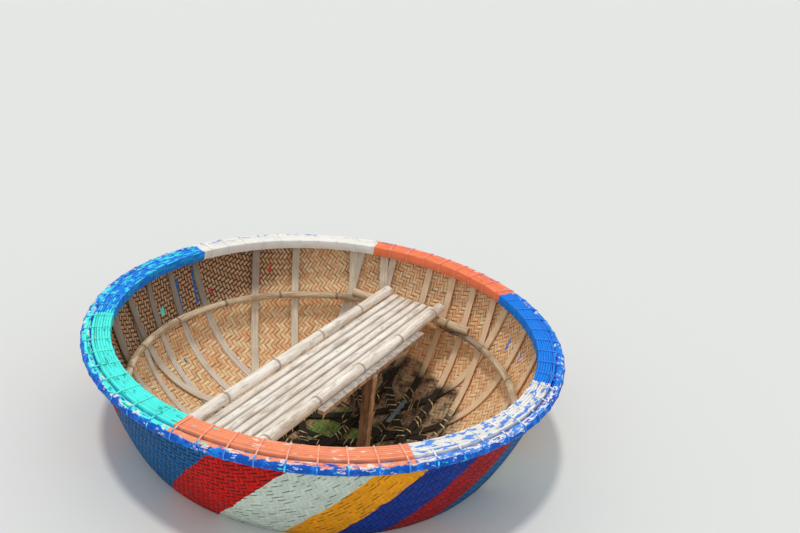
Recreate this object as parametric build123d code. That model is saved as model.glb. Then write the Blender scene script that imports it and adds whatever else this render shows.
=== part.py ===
"""Round woven basket boat (coracle) of split bamboo, modelled upright and afloat.

Frame, in millimetres: the origin is the centre of the boat in its waterline, +Z is up, +X is the
boat's right and +Y its far side, as the boat is looked at from its near side.
Every rib, pole and slat runs along a plan angle, counted in degrees from +X towards +Y.
"""
from build123d import *
from math import cos, degrees, radians, sin, sqrt
import os

os.makedirs("parts", exist_ok=True)

FULL_TURN = 360.0

# Fits
CLEARANCE = 0.3            # between pieces that are pressed or tied together
STRIP_GAP = 0.5            # between neighbouring strips of the rim

# Hull: a woven mat bent to three arcs that meet in a tangent, given at its inner face
DRAFT = 285.0              # from the waterline down to the lowest point of the hull
HULL_DEPTH = 714.0         # inside, from the rim's underside to the bottom
MOUTH_RADIUS = 985.0       # inside, at the rim's underside
MAT_THICKNESS = 9.0
BILGE_RADIUS = 520.0       # the tight arc between the flat bottom and the steep wall
BOTTOM_ANGLE = 18.0        # slope where the bottom's arc ends
BILGE_ANGLE = 64.0         # slope where the bilge's arc ends
WALL_ANGLE = 79.0          # slope of the wall at the rim

# Rim: strips on edge clamp the mat's edge, with a round pole bent round outside them
STRIP_THICKNESS = 10.6
STRIP_HEIGHT = 46.0
STRIP_CHAMFER = 2.5
INNER_STRIPS = 5
OUTER_STRIPS = 1
MAT_EDGE_BELOW_TOP = 4.0   # how far the mat's edge stays below the top of the strips
OUTER_POLE_RADIUS = 21.5
OUTER_POLE_HEIGHT = 18.0   # its axis, above the rim's underside
LASHING_COUNT = 60
LASHING_WIDTH = 6.0
LASHING_THICKNESS = 2.0

# Ribs: four layers of split bamboo, each laid across the ones before it
RIB_THICKNESS = 6.0
RIB_TOP_GAP = 6.0          # from the rim's underside down to the ribs' ends
RIB_LAYERS = [
    # plan angle, rib width, where its ribs start along that angle, offset of each rib to its left,
    # with starts and offsets as shares of the mouth's radius
    (157.0, 32.0, -0.426, (0.441, 0.283, 0.126, -0.031, -0.189, -0.346)),
    (6.0, 34.0, -1.0, (0.350, 0.152, -0.046, -0.244, -0.442)),
    (56.0, 34.0, -1.0, (0.426, 0.254, 0.039, -0.110, -0.248, -0.391)),
    (100.0, 38.0, -1.0, (0.266, 0.048, -0.266, -0.426)),
]

# Inner hoop: two bent poles that lie on the ribs, meet end to end and carry the thwarts
HOOP_DROP = 245.0          # its axis, below the rim's underside
HOOP_POLE_RADIUS = 17.0
HOOP_JOINT_ANGLES = (-104.0, 42.0)

# Seat raft: poles, split slats and a plank on two thwarts, with a post under the plank
RAFT_ANGLE = 59.0          # the way the slats run
THWART_INSET = 68.0        # from the hoop's axis in to each thwart's, along the slats
THWART_OVERHANG = 8.0      # of a thwart's ends, past the hoop's axis
THWART_RADIUS = 21.0
RAFT_OVERHANG = 50.0       # of the poles and slats, past the thwarts' axes
THWART_FIRST_NODE = 120.0  # from the thwart's right end; its nodes stay outside the raft
THWART_NODE_PITCH = 430.0
POLE_RADIUS = 26.0
POLE_NODE_PITCH = 352.0
POLE_LEFT_OFFSET = 165.0   # of the left pole's axis, to the left of the slats' direction
POLE_LEFT_NODE = 340.0     # from the pole's near end to its first node
POLE_RIGHT_OFFSET = -148.0
POLE_RIGHT_NODE = 200.0
SLAT_COUNT = 6
SLAT_GAP = 2.0
SLAT_WALL = 8.0
SLAT_CROWN_RADIUS = 38.0
PLANK_WIDTH = 34.0
PLANK_THICKNESS = 20.0
PLANK_START = -330.0
PLANK_END = 560.0
POST_WIDTH = 46.0
POST_DEPTH = 42.0
POST_REACH = 80.0          # from the boat's centre along the slats

# Bamboo: a wall, with a ridge and a closed web at each node of the cane
CANE_WALL = 7.0
CANE_NODE_WIDTH = 12.0
CANE_NODE_RISE = 1.5

RIM_UNDERSIDE = HULL_DEPTH + MAT_THICKNESS - DRAFT
RIB_PITCH = RIB_THICKNESS + CLEARANCE
RIB_STACK = len(RIB_LAYERS) * RIB_PITCH


def hull_arcs():
    """Radius, centre and slopes of each arc: bottom and wall follow from the depth and the mouth."""
    s1, s2, s3 = (sin(radians(a)) for a in (BOTTOM_ANGLE, BILGE_ANGLE, WALL_ANGLE))
    c1, c2, c3 = (cos(radians(a)) for a in (BOTTOM_ANGLE, BILGE_ANGLE, WALL_ANGLE))
    reach = MOUTH_RADIUS - BILGE_RADIUS * (s2 - s1)
    rise = HULL_DEPTH - BILGE_RADIUS * (c1 - c2)
    spread = s1 * (c2 - c3) - (s3 - s2) * (1 - c1)
    bottom = (reach * (c2 - c3) - rise * (s3 - s2)) / spread
    wall = (rise * s1 - reach * (1 - c1)) / spread
    bottom_z = RIM_UNDERSIDE - HULL_DEPTH + bottom
    bilge_x = (bottom - BILGE_RADIUS) * s1
    bilge_z = bottom_z - (bottom - BILGE_RADIUS) * c1
    wall_x = bilge_x + (BILGE_RADIUS - wall) * s2
    wall_z = bilge_z - (BILGE_RADIUS - wall) * c2
    return [
        (bottom, (0.0, bottom_z), 0.0, BOTTOM_ANGLE),
        (BILGE_RADIUS, (bilge_x, bilge_z), BOTTOM_ANGLE, BILGE_ANGLE),
        (wall, (wall_x, wall_z), BILGE_ANGLE, WALL_ANGLE),
    ]


HULL_ARCS = hull_arcs()


def bowl(growth):
    """Solid that fills the hull up to the rim's underside, its skin moved outwards by growth."""
    edges = [CenterArc(centre, radius + growth, first - 90, last - first)
             for radius, centre, first, last in HULL_ARCS]
    top = edges[-1] @ 1
    edges.append(Polyline(top, (top.X, RIM_UNDERSIDE), (0, RIM_UNDERSIDE), edges[0] @ 0))
    return revolve(Plane.XZ * make_face(edges), Axis.Z)


def wall_radius(height, growth):
    """Radius of the hull's skin, moved outwards by growth, at a height on its wall."""
    radius, (x, z), _, _ = HULL_ARCS[-1]
    return x + sqrt((radius + growth) ** 2 - (height - z) ** 2)


MAT_OUTER_RADIUS = max(wall_radius(RIM_UNDERSIDE, MAT_THICKNESS), MOUTH_RADIUS + MAT_THICKNESS)
STRIP_PITCH = STRIP_THICKNESS + STRIP_GAP
RIM_INNER_RADIUS = MOUTH_RADIUS - CLEARANCE - INNER_STRIPS * STRIP_PITCH + STRIP_GAP
OUTER_STRIP_RADIUS = MAT_OUTER_RADIUS + CLEARANCE
OUTER_POLE_INNER = OUTER_STRIP_RADIUS + OUTER_STRIPS * STRIP_PITCH
OUTER_POLE_AXIS = OUTER_POLE_INNER + OUTER_POLE_RADIUS
HOOP_Z = RIM_UNDERSIDE - HOOP_DROP
HOOP_RADIUS = wall_radius(HOOP_Z, -RIB_STACK - CLEARANCE - HOOP_POLE_RADIUS)
THWART_REACH = HOOP_RADIUS - THWART_INSET
THWART_HALF_LENGTH = sqrt(HOOP_RADIUS ** 2 - THWART_REACH ** 2) + THWART_OVERHANG
THWART_Z = HOOP_Z + HOOP_POLE_RADIUS + CLEARANCE + THWART_RADIUS
RAFT_HALF_LENGTH = THWART_REACH + RAFT_OVERHANG
RAFT_Z = THWART_Z + THWART_RADIUS + CLEARANCE
PLANK_OFFSET = POLE_RIGHT_OFFSET - POLE_RADIUS - SLAT_GAP - PLANK_WIDTH / 2


def ring(outline):
    """Solid of revolution of an outline drawn in radius and height."""
    return revolve(Plane.XZ * outline, Axis.Z)


def along(plan_angle, reach, offset_left, height):
    """Place whose X runs at a plan angle, at a reach along it and an offset to its left."""
    return Rot(0, 0, plan_angle) * Pos(reach, offset_left, height)


def rod(radius, start, length):
    """Round bar along X."""
    return Pos(start, 0, 0) * Rot(0, 90, 0) * Cylinder(
        radius, length, align=(Align.CENTER, Align.CENTER, Align.MIN))


def cane(radius, length, first_node, pitch):
    """Bamboo pole along X from X = 0, ridged at its nodes and hollow up to its first and last node."""
    count = int((length - first_node - CANE_NODE_WIDTH) // pitch) + 1
    nodes = [first_node + n * pitch for n in range(count)]
    pole = rod(radius, 0, length)
    for node in nodes:
        ridge = rod(radius + CANE_NODE_RISE, node - CANE_NODE_WIDTH / 2, CANE_NODE_WIDTH)
        pole += chamfer(ridge.edges().filter_by(GeomType.CIRCLE), CANE_NODE_RISE)
    bore = radius - CANE_WALL
    pole -= rod(bore, 0, nodes[0] - CANE_NODE_WIDTH)
    pole -= rod(bore, nodes[-1] + CANE_NODE_WIDTH, length)
    return pole


def make_mat():
    """Woven mat with an upright edge that the rim clamps."""
    edge_height = STRIP_HEIGHT - MAT_EDGE_BELOW_TOP
    edge_width = MAT_OUTER_RADIUS - MOUTH_RADIUS
    edge = Pos(MOUTH_RADIUS + edge_width / 2, RIM_UNDERSIDE + edge_height / 2)
    return bowl(MAT_THICKNESS) - bowl(0) + ring(edge * Rectangle(edge_width, edge_height))


def make_strips(first_radius, count):
    """Neighbouring strips of split bamboo bent on edge round the rim, from the innermost out."""
    outline = Rectangle(STRIP_THICKNESS, STRIP_HEIGHT)
    outline = chamfer(outline.vertices(), STRIP_CHAMFER)
    centre = first_radius + STRIP_THICKNESS / 2
    height = RIM_UNDERSIDE + STRIP_HEIGHT / 2
    return [ring(Pos(centre + n * STRIP_PITCH, height) * outline) for n in range(count)]


def make_outer_pole():
    """Round pole bent round the outside of the rim."""
    return ring(Pos(OUTER_POLE_AXIS, RIM_UNDERSIDE + OUTER_POLE_HEIGHT) * Circle(OUTER_POLE_RADIUS))


def make_lashings():
    """Loops pulled tight round the rim's strips and pole, open where the mat comes through."""
    width = OUTER_POLE_INNER - STRIP_GAP - RIM_INNER_RADIUS
    strips = Pos(RIM_INNER_RADIUS + width / 2, STRIP_HEIGHT / 2) * Rectangle(width, STRIP_HEIGHT)
    pole = Pos(OUTER_POLE_AXIS, OUTER_POLE_HEIGHT) * Circle(OUTER_POLE_RADIUS)
    bundle = make_hull(strips.edges() + pole.edges())
    loop = offset(bundle, CLEARANCE + LASHING_THICKNESS) - offset(bundle, CLEARANCE)
    slot_start = wall_radius(RIM_UNDERSIDE - 2 * LASHING_THICKNESS - OUTER_POLE_RADIUS, -CLEARANCE)
    slot_width = MAT_OUTER_RADIUS + CLEARANCE - slot_start
    loop -= Pos(slot_start + slot_width / 2, 0) * Rectangle(slot_width, STRIP_HEIGHT)
    lashing = extrude(Plane.XZ * Pos(0, RIM_UNDERSIDE) * loop, LASHING_WIDTH / 2, both=True)
    return [Rot(0, 0, n * FULL_TURN / LASHING_COUNT) * lashing for n in range(LASHING_COUNT)]


def make_ribs(layer):
    """One layer of ribs: a skin inside the hull, cut into slats across the layer's angle."""
    angle, width, start, offsets = RIB_LAYERS[layer]
    outside = CLEARANCE + layer * RIB_PITCH
    skin = bowl(-outside) - bowl(-outside - RIB_THICKNESS)
    height = HULL_DEPTH + MAT_THICKNESS
    slat = Box((1 - start) * MOUTH_RADIUS, width, height, align=(Align.MIN, Align.CENTER, Align.MAX))
    top = RIM_UNDERSIDE - RIB_TOP_GAP
    return [skin & along(angle, start * MOUTH_RADIUS, across * MOUTH_RADIUS, top) * slat
            for across in offsets]


def make_hoop_pole(start, end):
    """Bent pole of the inner hoop between two plan angles, its ends butted against the other pole's."""
    section = Plane.XZ * Pos(HOOP_RADIUS, HOOP_Z) * Circle(HOOP_POLE_RADIUS)
    gap = degrees(CLEARANCE / HOOP_RADIUS)
    return revolve(Rot(0, 0, start + gap / 2) * section, Axis.Z, revolution_arc=end - start - gap)


def make_thwart(reach):
    """Bamboo pole that lies across the inner hoop."""
    thwart = cane(THWART_RADIUS, 2 * THWART_HALF_LENGTH, THWART_FIRST_NODE, THWART_NODE_PITCH)
    return along(RAFT_ANGLE + 90, -THWART_HALF_LENGTH, -reach, THWART_Z) * thwart


def make_raft_pole(across, first_node):
    """Round pole at an edge of the seat raft."""
    pole = cane(POLE_RADIUS, 2 * RAFT_HALF_LENGTH, first_node, POLE_NODE_PITCH)
    return along(RAFT_ANGLE, -RAFT_HALF_LENGTH, across, RAFT_Z + POLE_RADIUS) * pole


def make_slats():
    """Split bamboo slats, crown up, that fill the raft between its poles."""
    left = POLE_LEFT_OFFSET - POLE_RADIUS
    pitch = (left - POLE_RIGHT_OFFSET - POLE_RADIUS) / SLAT_COUNT
    width = pitch - SLAT_GAP
    tube = Circle(SLAT_CROWN_RADIUS) - Circle(SLAT_CROWN_RADIUS - SLAT_WALL)
    section = tube & Pos(0, SLAT_CROWN_RADIUS) * Rectangle(width, 2 * SLAT_CROWN_RADIUS)
    lowest = section.bounding_box().min.Y
    slat = extrude(Plane.YZ * section, 2 * RAFT_HALF_LENGTH)
    return [along(RAFT_ANGLE, -RAFT_HALF_LENGTH, left - (n + 0.5) * pitch, RAFT_Z - lowest) * slat
            for n in range(SLAT_COUNT)]


def make_plank():
    """Sawn plank along the raft's right edge."""
    size = (PLANK_END - PLANK_START, PLANK_WIDTH, PLANK_THICKNESS)
    plank = Box(*size, align=(Align.MIN, Align.CENTER, Align.MIN))
    return along(RAFT_ANGLE, PLANK_START, PLANK_OFFSET, RAFT_Z) * plank


def make_post():
    """Sawn post from the second layer of ribs up to the plank."""
    height = RAFT_Z - CLEARANCE
    post = Box(POST_DEPTH, POST_WIDTH, height + DRAFT, align=(Align.CENTER, Align.CENTER, Align.MAX))
    foot = bowl(-CLEARANCE - 2 * RIB_PITCH)
    return foot & along(RAFT_ANGLE, POST_REACH, PLANK_OFFSET, height) * post


def make_nodes():
    """Every node of the boat, by name: like pieces are numbered outwards on the rim, else from the left."""
    near_joint, far_joint = HOOP_JOINT_ANGLES
    nodes = {
        "hull_mat": make_mat(),
        "rim_outer_pole": make_outer_pole(),
        "rim_lashings": make_lashings(),
        "inner_hoop_right": make_hoop_pole(near_joint, far_joint),
        "inner_hoop_left": make_hoop_pole(far_joint, near_joint + FULL_TURN),
        "thwart_far": make_thwart(THWART_REACH),
        "thwart_near": make_thwart(-THWART_REACH),
        "raft_pole_left": make_raft_pole(POLE_LEFT_OFFSET, POLE_LEFT_NODE),
        "raft_pole_right": make_raft_pole(POLE_RIGHT_OFFSET, POLE_RIGHT_NODE),
        "raft_plank": make_plank(),
        "raft_post": make_post(),
    }
    groups = {
        "rim_inner_strip": make_strips(RIM_INNER_RADIUS, INNER_STRIPS),
        "rim_outer_strip": make_strips(OUTER_STRIP_RADIUS, OUTER_STRIPS),
        "raft_slat": make_slats(),
    }
    for layer in range(len(RIB_LAYERS)):
        groups[f"rib_layer_{layer + 1}"] = make_ribs(layer)
    for name, pieces in groups.items():
        for number, piece in enumerate(pieces, 1):
            nodes[f"{name}_{number}"] = piece
    return nodes


for name, shape in make_nodes().items():
    pieces = shape if isinstance(shape, list) else [shape]
    solids = [solid for piece in pieces for solid in piece.solids()]
    export_step(Compound(children=solids), f"parts/{name}.step")
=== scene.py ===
"""Looks of a round woven basket boat, afloat: every piece lies where the CAD model has it.

Frame, in metres: the origin is the centre of the boat in its waterline, +Z is up, +X is the boat's
right and +Y its far side. Plan angles are in degrees from +X towards +Y.
"""
from math import cos, pi, radians, sin

import bpy
import numpy as np
from mathutils import Matrix, Vector


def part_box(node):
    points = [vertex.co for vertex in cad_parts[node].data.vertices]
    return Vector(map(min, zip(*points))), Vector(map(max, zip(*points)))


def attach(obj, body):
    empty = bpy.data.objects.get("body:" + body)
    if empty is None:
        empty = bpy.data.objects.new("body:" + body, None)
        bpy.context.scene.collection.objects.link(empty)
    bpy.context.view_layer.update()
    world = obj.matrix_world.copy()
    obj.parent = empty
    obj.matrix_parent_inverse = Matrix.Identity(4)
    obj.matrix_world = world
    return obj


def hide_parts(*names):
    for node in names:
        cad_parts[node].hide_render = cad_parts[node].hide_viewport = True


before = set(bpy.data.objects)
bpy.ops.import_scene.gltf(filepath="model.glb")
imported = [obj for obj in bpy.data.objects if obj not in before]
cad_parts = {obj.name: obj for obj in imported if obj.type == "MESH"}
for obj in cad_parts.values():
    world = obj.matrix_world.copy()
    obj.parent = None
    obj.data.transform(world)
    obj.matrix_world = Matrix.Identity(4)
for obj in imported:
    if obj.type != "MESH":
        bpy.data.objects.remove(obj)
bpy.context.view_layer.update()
BODY = "root"
SEED = 7
UP = (0.0, 0.0, 1.0)

# Hull, as the CAD model has it: three arcs that meet in a tangent, given at the mat's inner face
DRAFT = 0.285
HULL_DEPTH = 0.714
MOUTH_RADIUS = 0.985
MAT_THICKNESS = 0.009
BILGE_RADIUS = 0.520
BOTTOM_ANGLE = 18.0
BILGE_ANGLE = 64.0
WALL_ANGLE = 79.0
RIM_UNDERSIDE = HULL_DEPTH + MAT_THICKNESS - DRAFT
RIM_HEIGHT = 0.046

# Woven mat: flat strips in a 2/2 twill over a tarred core
STRIP_WIDTH = 0.0205
WARP_ANGLE = 60.0  # plan angle of the warp strips
INNER_RELIEF = 0.0020  # from the crown of an inner strip down to the core
OUTER_RELIEF = 0.0024  # the same for an outer strip
STRIP_COVER = 0.99  # share of its cell that a strip covers across
STRIP_LIMIT = 200  # more strips than lie on either side of the middle one
FLOAT_CELLS = 2  # cells that a strip passes over at a time
FLOAT_OVERLAP = 1.14  # its length there as a share of those cells, so its ends tuck under
FLOAT_STATIONS = (-1.0, -0.8, 0.0, 0.8, 1.0)
FLOAT_COLUMNS = (-1.0, -0.94, 0.94, 1.0)
FLOAT_TOPS = (0.0, 1.0, 1.0, 0.0)
STRIP_UNEVEN = 0.06  # how much a strip's cover and overlap vary
STRIP_SKEW = 0.04  # how much it lies aside, as a share of its width
CORE_ROWS = 72
CORE_COLUMNS = 192
CORE_START = 0.002  # the core's faces start this far from the very bottom
CORE_EDGE = RIM_UNDERSIDE + 0.004  # above this the core shows the rim's paint
ALGAE_PLACE = (0.10, 0.25, -0.25)
ALGAE_REACH = (0.27, 0.22)  # distances from there where it ends and where it is full
SHADE_AND_DAMP_SIDE = 160.0  # plan angle of the side where the wall under the rim is darkest: painted shadow of the rim, with some dampness
SHADE_AND_DAMP_HEIGHTS = (RIM_UNDERSIDE - 0.24, RIM_UNDERSIDE - 0.13)  # where it starts and where it is full
TAR_HEIGHTS = (-0.165, -0.215)  # the same of the tar at the bottom
TAR_RISE = 0.145  # how much higher the tar goes at the far right
WET_HEIGHTS = (0.06, 0.02)  # the same of the wet band outside
DULL_SPECULAR = 0.14  # specular level of paint and ribs

# Rim: painted strips on edge, and a pole bent round them
STRIP_WOBBLE = 0.0008
STRIP_WAVES = (5, 11, 23, 47)  # waves round the rim that make it
STRIP_CORNER = 0.0022
PAINTED_EDGE_BELOW_TOP = 0.0016
OUTER_POLE_TOP = RIM_UNDERSIDE + 0.0395
OUTER_POLE_MIDDLE = 1.027
RIM_STATIONS = 720

# Raft and bamboo
RAFT_ANGLE = 59.0
LEFT_POLE_NODES = (0.340, 0.352)  # from a pole's near end to its first node, and between nodes
RIGHT_POLE_NODES = (0.200, 0.352)
THWART_NODES = (0.120, 0.430)
HOOP_NODES = (0.100, 0.310)
RAFT_LENGTH = 1.700
THWART_LENGTH = 0.690
HOOP_RUN = 0.87  # metres along the hoop for each radian
HOOP_GREYED = (22.0, 33.0)  # plan angles between which the right pole's split end turns grey
# direction of the post's face that gets painted shade
POST_SHADED_FACE = (-cos(radians(RAFT_ANGLE)), -sin(radians(RAFT_ANGLE)), 0.0)

# Ribs and hoop, as the CAD model has them
CLEARANCE = 0.0003
RIB_ANGLES = (157.0, 6.0, 56.0, 100.0)
RIB_THICKNESS = 0.006
RIB_PITCH = RIB_THICKNESS + CLEARANCE
RIB_STACK = len(RIB_ANGLES) * RIB_PITCH
HOOP_Z = RIM_UNDERSIDE - 0.245
HOOP_RADIUS = 0.868

# Small things at the bottom, in plan
TIE_PITCH = 0.032
TIE_WIDTH = 0.0050
TIE_THICKNESS = 0.0014
TIE_SLANT = 0.009
TIE_FOOT = (0.005, 0.003)  # how far out from the rib's side it ends, and how high over the mat
TIE_BENDS = ((0.0012, 0.0), (-0.004, 0.0016))  # the same of its bends, but over the rib
TIE_MISSING = 0.25  # share of the ties that have gone
TIES_BELOW = -0.190
TIES_RISE = 0.12  # how much higher they go for each metre to the right
STICKS = [
    ((0.165, 0.507), (0.202, 0.328), 0.007), ((0.270, 0.469), (0.325, 0.545), 0.006),
    ((0.120, 0.544), (0.180, 0.360), 0.006), ((0.050, 0.450), (0.190, 0.355), 0.007),
    ((0.210, 0.420), (0.130, 0.290), 0.008), ((0.100, 0.260), (0.260, 0.400), 0.006),
]
BLUE_SLAT = ((0.332, 0.275), (0.420, 0.410))
BLUE_SLAT_WIDTH = 0.024
BLUE_SLAT_THICKNESS = 0.004
BLUE_SLAT_LIFT = 0.002  # how high it lies over the ribs
FORK_START = 38.0  # plan angle where the hoop's right pole splits
# Prongs of the split: how far in from the hoop's middle, how far up, and the tip's plan angle
FORK_PRONGS = ((0.020, 0.006, 50.0), (0.021, -0.011, 47.5))
FORK_RADIUS = 0.0085
FORK_TAPER = 0.72  # share of the radius that is gone at the tip
TUBE_SIDES = 10
FLAT_SECTION = ((-1, 0), (1, 0), (1, 1), (-1, 1))  # corners of a flat strip: side and face

# Camera: where it stands, how it is turned, and its lens
CAMERA_ORBIT = 4.158  # from the centre of the rim's underside
CAMERA_HEIGHT_ANGLE = 28.29
CAMERA_TURN = -3.971  # aim: to the side, up, and roll, in degrees
CAMERA_LIFT = 5.225
CAMERA_ROLL = -4.595
CAMERA_LENS = 41.68
CAMERA_SHIFT = -0.0175
SENSOR_WIDTH = 36.0
CAMERA_CLIP = (0.05, 200.0)

# Light
SKY_STRENGTH = 0.76
SKY_COLOUR = (0.95, 0.97, 1.0, 1.0)
BACKDROP_STRENGTH = 0.86
SUN_ENERGY = 1.25
SUN_FROM = (-0.15, -0.04, 0.99)
SUN_SPREAD = 6.0
SUN_COLOUR = (1.0, 0.96, 0.90)
FLOOR_RINGS = (1.5, 4.0, 14.0, 60.0)
FLOOR_SEGMENTS = 192


def linear(hex_colour):
    """Linear colour of a screen colour written as #RRGGBB."""
    shares = [int(hex_colour[i:i + 2], 16) / 255 for i in (1, 3, 5)]
    return tuple(c / 12.92 if c <= 0.04045 else ((c + 0.055) / 1.055) ** 2.4 for c in shares) + (1.0,)


def grey(share):
    """A share from 0 to 1, written as a colour."""
    return (share,) * 3 + (1.0,)


ORANGE = linear("#F89A72")
RED_ORANGE = linear("#FA8258")
BLUE = linear("#1084EE")
DEEP_BLUE = linear("#0C54BC")
TURQUOISE = linear("#54F6EC")
DEEP_TURQUOISE = linear("#12A89E")
ROSE = linear("#D9A99A")
CHALK = linear("#F2F0EA")
HULL_BLUE = linear("#0A68A8")
RED = linear("#DA120C")
WHITE = linear("#D8E6D8")
YELLOW = linear("#FFAA10")
NAVY = linear("#0A3CA4")
DARK_RED = linear("#B8101A")
PALE_BLUE = linear("#9DB6CC")
PRIMER = linear("#F6E6DA")
BARE_BAMBOO = linear("#C8A77C")
WEAVE_LIGHT = linear("#FFE4B6")
WEAVE_MIDDLE = linear("#FFD09A")
WEAVE_DARK = linear("#F2B884")
WEAVE_SHADE = linear("#6E3E20")
WEAVE_FIBRE = linear("#FAD9A8")
# Core seen between the inner strips: brown for tar and for painted shade in the openings of the weave
CORE_LIGHT = linear("#B07C4C")
CORE_DARK = linear("#6E4626")
# Colours of the rim's painted shadow, with some dampness: on the strips, in their seams, and on the ribs
SHADE_AND_DAMP_BROWN = linear("#8A5034")
SHADE_AND_DAMP_SEAM = linear("#2E1A10")
SHADE_AND_DAMP_GREY = linear("#604C40")
TAR = linear("#120C08")
ALGAE = linear("#5C8A2C")
# Light and dark tones of the hoop, the raft's slats and poles, and the thwarts
HOOP_TONES = linear("#E8D2B0"), linear("#8E7254")
SPLICE_LIGHT = linear("#A8988A")
SPLICE_DARK = linear("#5E4E42")
RAFT_TONES = linear("#F8F2E8"), linear("#CCBAA4")
POLE_TONES = linear("#FCF6EC"), linear("#CAB79E")
THWART_TONES = linear("#F2DDBC"), linear("#A4865E")
BAMBOO_STAIN = linear("#6A4E3A")
BAMBOO_NODE = linear("#4A3C30")
# painted shade on the sides of split bamboo, between the slats
BAMBOO_SIDE_SHADE = linear("#6A5440")
WOOD_LIGHT = linear("#CDA781")
WOOD_DARK = linear("#76543C")
WOOD_WORN = linear("#D2B292")
WOOD_SHADE = linear("#3E2C1E")
BLEACHED_LIGHT = linear("#C2BAB0")
BLEACHED_DARK = linear("#8A8078")
TIE_LIGHT = linear("#F0E0A4")
TIE_DARK = linear("#8E7C4E")
STICK_BARE = linear("#7A6248")
SLAT_BLUE = linear("#4F7090")
SLAT_GREY = linear("#8E8878")
BACKDROP = linear("#F4F5F4")
FLOOR = linear("#DADCDA")
FLOOR_DARK = linear("#CCCCC8")
# Light and dark tone of the ribs, layer by layer
RIB_TONES = (
    ("#FAF3E8", "#CABBA6"), ("#F8EFDE", "#C8B8A0"), ("#F6EDDF", "#CABBA6"), ("#F8EEDA", "#CEBDA4"),
)

# Paint round the rim: plan angle where each stretch starts, its paint, the paint under it, and how
# much of that shows, from 0 to 1
RIM_PAINT = [
    (-180, BLUE, TURQUOISE, 0.50), (-176, TURQUOISE, DEEP_TURQUOISE, 0.35),
    (-122.3, ORANGE, TURQUOISE, 0.24), (-108, ORANGE, PRIMER, 0.30), (-71.7, CHALK, BLUE, 0.47),
    (-23.5, BLUE, CHALK, 0.08), (27.5, RED_ORANGE, ORANGE, 0.45), (76, CHALK, ROSE, 0.14),
    (134.5, BLUE, TURQUOISE, 0.46),
]
LASHINGS_SHOW = ((-122.3, -71.7), (27.5, 76.0))  # between these plan angles the cord is pale
# Paint on the outside of the hull: plan angle at the rim where each patch starts, its paint, and how
# many dark slits show in it, from 0 to 1: tar where the weave is open, and painted shade
HULL_PAINT = [
    (-180, YELLOW, 0.5), (-176, NAVY, 0.9), (-158, DARK_RED, 0.8), (-140, HULL_BLUE, 1.0),
    (-112.1, RED, 0.75), (-95.1, WHITE, 0.35), (-76.4, YELLOW, 0.45), (-64.6, NAVY, 0.8),
    (-50.6, DARK_RED, 0.8), (-34, HULL_BLUE, 0.9), (-14, WHITE, 0.4), (6, YELLOW, 0.5),
    (20, NAVY, 0.8), (40, RED, 0.7), (58, HULL_BLUE, 0.9), (80, WHITE, 0.4),
    (100, YELLOW, 0.5), (114, NAVY, 0.8), (134, DARK_RED, 0.8), (152, WHITE, 0.4),
    (170, YELLOW, 0.5),
]
# Old paint run down the inside of the wall: plan angle, lowest and highest point, half width, paint
DRIPS = [
    (144.0, 0.192, 0.366, 0.0084, HULL_BLUE), (137.6, 0.204, 0.396, 0.0084, HULL_BLUE),
    (163.0, 0.247, 0.330, 0.0154, TURQUOISE), (151.8, 0.221, 0.259, 0.0126, TURQUOISE),
    (103.6, 0.363, 0.401, 0.0098, RED), (111.1, 0.290, 0.334, 0.0056, RED),
    (114.8, 0.238, 0.305, 0.0070, RED), (132.0, 0.230, 0.264, 0.0056, RED),
    (149.6, -0.020, 0.000, 0.0084, HULL_BLUE), (20.5, 0.238, 0.303, 0.0070, BLUE),
    (12.4, 0.236, 0.298, 0.0056, BLUE), (17.0, 0.185, 0.215, 0.0070, PALE_BLUE),
]
PATCH_SLANT = 50.0  # degrees that a patch's edge turns for each metre down the hull


# Shader nodes

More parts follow.
